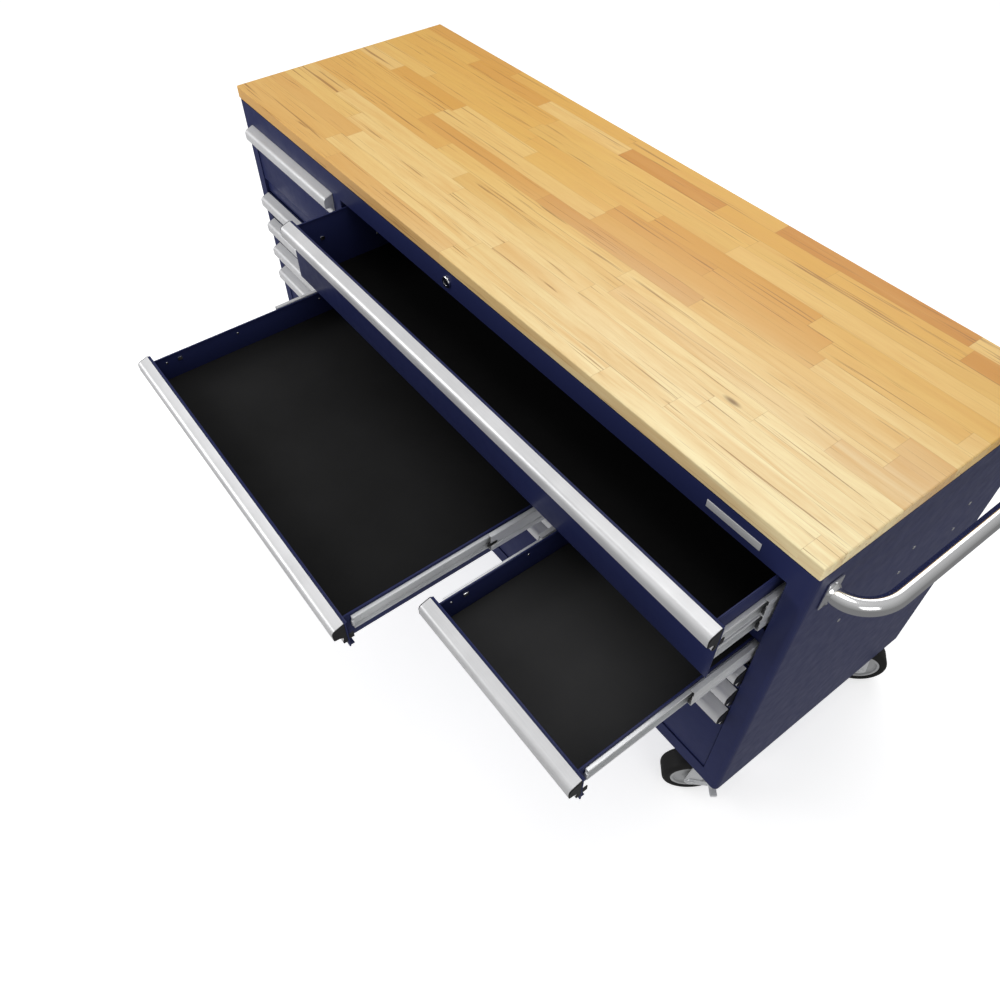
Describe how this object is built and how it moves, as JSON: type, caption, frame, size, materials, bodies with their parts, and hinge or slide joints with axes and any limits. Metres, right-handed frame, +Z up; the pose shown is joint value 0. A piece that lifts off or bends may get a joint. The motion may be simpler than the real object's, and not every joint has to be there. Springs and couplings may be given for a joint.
{
  "type": "workbench with drawers",
  "caption": "Mobile steel workbench with a wooden work surface, banks of drawers with full-width pulls, a side push handle and casters.",
  "frame": {"origin": "on the floor, under the middle of the box around the bench at rest, with its open drawers and its push handle", "axes": "+Z up, -Y out of the drawer front, +X towards the push handle"},
  "size_m": [1.912, 1.1676, 0.968],
  "materials": {
    "navy_paint": "glossy",
    "aluminium": "satin",
    "zinc": "zinc plated",
    "chrome": "polished",
    "timber": "clear satin lacquer",
    "rubber": "matte",
    "fork_steel": "zinc plated"
  },
  "bodies": {
    "cabinet": {"cabinet_shell": "navy_paint", "side_wall_left": "navy_paint", "side_wall_right": "navy_paint", "partition_left": "navy_paint", "partition_right": "navy_paint", "back_panel": "navy_paint", "floor_pan": "navy_paint", "cross_rail_left": "navy_paint", "cross_rail_right": "navy_paint", "wood_top": "timber", "lock_housing": "chrome", "push_handle": "chrome", "handle_flange_front": "chrome", "handle_flange_rear": "chrome", "caster_front_left_fork": "fork_steel", "caster_rear_left_fork": "fork_steel"},
    "lock_plug": {"lock_plug": "chrome"},
    "left_drawer_1": {"left_drawer_1_box": "navy_paint", "left_drawer_1_pull": "aluminium"},
    "left_drawer_2": {"left_drawer_2_box": "navy_paint", "left_drawer_2_pull": "aluminium"},
    "left_drawer_3": {"left_drawer_3_box": "navy_paint", "left_drawer_3_pull": "aluminium"},
    "left_drawer_4": {"left_drawer_4_box": "navy_paint", "left_drawer_4_pull": "aluminium"},
    "left_drawer_5": {"left_drawer_5_box": "navy_paint", "left_drawer_5_pull": "aluminium"},
    "wide_drawer": {"wide_drawer_box": "navy_paint", "wide_drawer_pull": "aluminium"},
    "centre_drawer_1": {"centre_drawer_1_box": "navy_paint", "centre_drawer_1_pull": "aluminium"},
    "centre_drawer_2": {"centre_drawer_2_box": "navy_paint", "centre_drawer_2_pull": "aluminium"},
    "centre_drawer_3": {"centre_drawer_3_box": "navy_paint", "centre_drawer_3_pull": "aluminium"},
    "centre_drawer_4": {"centre_drawer_4_box": "navy_paint", "centre_drawer_4_pull": "aluminium"},
    "right_drawer_1": {"right_drawer_1_box": "navy_paint", "right_drawer_1_pull": "aluminium"},
    "right_drawer_2": {"right_drawer_2_box": "navy_paint", "right_drawer_2_pull": "aluminium"},
    "right_drawer_3": {"right_drawer_3_box": "navy_paint", "right_drawer_3_pull": "aluminium"},
    "right_drawer_4": {"right_drawer_4_box": "navy_paint", "right_drawer_4_pull": "aluminium"},
    "wide_drawer_slide_left": {"wide_drawer_slide_left": "zinc"},
    "wide_drawer_slide_right": {"wide_drawer_slide_right": "zinc"},
    "centre_drawer_1_slide_left": {"centre_drawer_1_slide_left": "zinc"},
    "centre_drawer_1_slide_right": {"centre_drawer_1_slide_right": "zinc"},
    "right_drawer_1_slide_left": {"right_drawer_1_slide_left": "zinc"},
    "right_drawer_1_slide_right": {"right_drawer_1_slide_right": "zinc"},
    "caster_front_left_wheel": {"caster_front_left_wheel": "rubber"},
    "caster_rear_left_wheel": {"caster_rear_left_wheel": "rubber"},
    "caster_front_right_swivel": {"caster_front_right_fork": "fork_steel"},
    "caster_front_right_wheel": {"caster_front_right_wheel": "rubber"},
    "caster_front_right_brake": {"caster_front_right_brake": "fork_steel"},
    "caster_rear_right_swivel": {"caster_rear_right_fork": "fork_steel"},
    "caster_rear_right_wheel": {"caster_rear_right_wheel": "rubber"},
    "caster_rear_right_brake": {"caster_rear_right_brake": "fork_steel"}
  },
  "joints": [
    {"name": "lock_turn", "type": "hinge", "parent": "cabinet", "child": "lock_plug", "pos_m": [-0.0442, -0.04102, 0.912], "axis": [0, 1, 0], "range_deg": [0, 90]},
    {"name": "left_drawer_1_slide", "type": "slide", "parent": "cabinet", "child": "left_drawer_1", "axis": [0, -1, 0], "range_m": [0, 0.52]},
    {"name": "left_drawer_2_slide", "type": "slide", "parent": "cabinet", "child": "left_drawer_2", "axis": [0, -1, 0], "range_m": [0, 0.52]},
    {"name": "left_drawer_3_slide", "type": "slide", "parent": "cabinet", "child": "left_drawer_3", "axis": [0, -1, 0], "range_m": [0, 0.52]},
    {"name": "left_drawer_4_slide", "type": "slide", "parent": "cabinet", "child": "left_drawer_4", "axis": [0, -1, 0], "range_m": [0, 0.52]},
    {"name": "left_drawer_5_slide", "type": "slide", "parent": "cabinet", "child": "left_drawer_5", "axis": [0, -1, 0], "range_m": [0, 0.52]},
    {"name": "wide_drawer_slide", "type": "slide", "parent": "cabinet", "child": "wide_drawer", "axis": [0, -1, 0], "range_m": [-0.132, 0.388]},
    {"name": "centre_drawer_1_slide", "type": "slide", "parent": "cabinet", "child": "centre_drawer_1", "axis": [0, -1, 0], "range_m": [-0.52, 0]},
    {"name": "centre_drawer_2_slide", "type": "slide", "parent": "cabinet", "child": "centre_drawer_2", "axis": [0, -1, 0], "range_m": [0, 0.52]},
    {"name": "centre_drawer_3_slide", "type": "slide", "parent": "cabinet", "child": "centre_drawer_3", "axis": [0, -1, 0], "range_m": [0, 0.52]},
    {"name": "centre_drawer_4_slide", "type": "slide", "parent": "cabinet", "child": "centre_drawer_4", "axis": [0, -1, 0], "range_m": [0, 0.52]},
    {"name": "right_drawer_1_slide", "type": "slide", "parent": "cabinet", "child": "right_drawer_1", "axis": [0, -1, 0], "range_m": [-0.375, 0.145]},
    {"name": "right_drawer_2_slide", "type": "slide", "parent": "cabinet", "child": "right_drawer_2", "axis": [0, -1, 0], "range_m": [0, 0.52]},
    {"name": "right_drawer_3_slide", "type": "slide", "parent": "cabinet", "child": "right_drawer_3", "axis": [0, -1, 0], "range_m": [0, 0.52]},
    {"name": "right_drawer_4_slide", "type": "slide", "parent": "cabinet", "child": "right_drawer_4", "axis": [0, -1, 0], "range_m": [0, 0.52]},
    {"name": "wide_drawer_slide_left_travel", "type": "slide", "parent": "cabinet", "child": "wide_drawer_slide_left", "axis": [0, -1, 0], "range_m": [-0.066, 0.194]},
    {"name": "wide_drawer_slide_right_travel", "type": "slide", "parent": "cabinet", "child": "wide_drawer_slide_right", "axis": [0, -1, 0], "range_m": [-0.066, 0.194]},
    {"name": "centre_drawer_1_slide_left_travel", "type": "slide", "parent": "cabinet", "child": "centre_drawer_1_slide_left", "axis": [0, -1, 0], "range_m": [-0.26, 0]},
    {"name": "centre_drawer_1_slide_right_travel", "type": "slide", "parent": "cabinet", "child": "centre_drawer_1_slide_right", "axis": [0, -1, 0], "range_m": [-0.26, 0]},
    {"name": "right_drawer_1_slide_left_travel", "type": "slide", "parent": "cabinet", "child": "right_drawer_1_slide_left", "axis": [0, -1, 0], "range_m": [-0.1875, 0.0725]},
    {"name": "right_drawer_1_slide_right_travel", "type": "slide", "parent": "cabinet", "child": "right_drawer_1_slide_right", "axis": [0, -1, 0], "range_m": [-0.1875, 0.0725]},
    {"name": "caster_front_left_wheel_spin", "type": "hinge", "parent": "cabinet", "child": "caster_front_left_wheel", "pos_m": [-0.871, 0.02898, 0.06319], "axis": [0, 1, 0], "continuous": true},
    {"name": "caster_rear_left_wheel_spin", "type": "hinge", "parent": "cabinet", "child": "caster_rear_left_wheel", "pos_m": [-0.871, 0.49858, 0.06319], "axis": [0, 1, 0], "continuous": true},
    {"name": "caster_front_right_swivel_turn", "type": "hinge", "parent": "cabinet", "child": "caster_front_right_swivel", "pos_m": [0.808, 0.02898, 0.15], "axis": [0, 0, 1], "continuous": true},
    {"name": "caster_front_right_wheel_spin", "type": "hinge", "parent": "caster_front_right_swivel", "child": "caster_front_right_wheel", "pos_m": [0.78337, -0.00254, 0.06319], "axis": [-0.788, 0.6157, 0], "continuous": true},
    {"name": "caster_front_right_brake_lift", "type": "hinge", "parent": "caster_front_right_swivel", "child": "caster_front_right_brake", "pos_m": [0.78337, -0.00254, 0.06319], "axis": [-0.788, 0.6157, 0], "range_deg": [-30, 0]},
    {"name": "caster_rear_right_swivel_turn", "type": "hinge", "parent": "cabinet", "child": "caster_rear_right_swivel", "pos_m": [0.808, 0.49858, 0.15], "axis": [0, 0, 1], "continuous": true},
    {"name": "caster_rear_right_wheel_spin", "type": "hinge", "parent": "caster_rear_right_swivel", "child": "caster_rear_right_wheel", "pos_m": [0.83725, 0.52586, 0.06319], "axis": [0.682, -0.7314, 0], "continuous": true},
    {"name": "caster_rear_right_brake_lift", "type": "hinge", "parent": "caster_rear_right_swivel", "child": "caster_rear_right_brake", "pos_m": [0.83725, 0.52586, 0.06319], "axis": [0.682, -0.7314, 0], "range_deg": [-30, 0]}
  ],
  "couplings": [
    {"joint": "wide_drawer_slide_left_travel", "follows": "wide_drawer_slide", "ratio": 0.5},
    {"joint": "wide_drawer_slide_right_travel", "follows": "wide_drawer_slide", "ratio": 0.5},
    {"joint": "centre_drawer_1_slide_left_travel", "follows": "centre_drawer_1_slide", "ratio": 0.5},
    {"joint": "centre_drawer_1_slide_right_travel", "follows": "centre_drawer_1_slide", "ratio": 0.5},
    {"joint": "right_drawer_1_slide_left_travel", "follows": "right_drawer_1_slide", "ratio": 0.5},
    {"joint": "right_drawer_1_slide_right_travel", "follows": "right_drawer_1_slide", "ratio": 0.5}
  ]
}
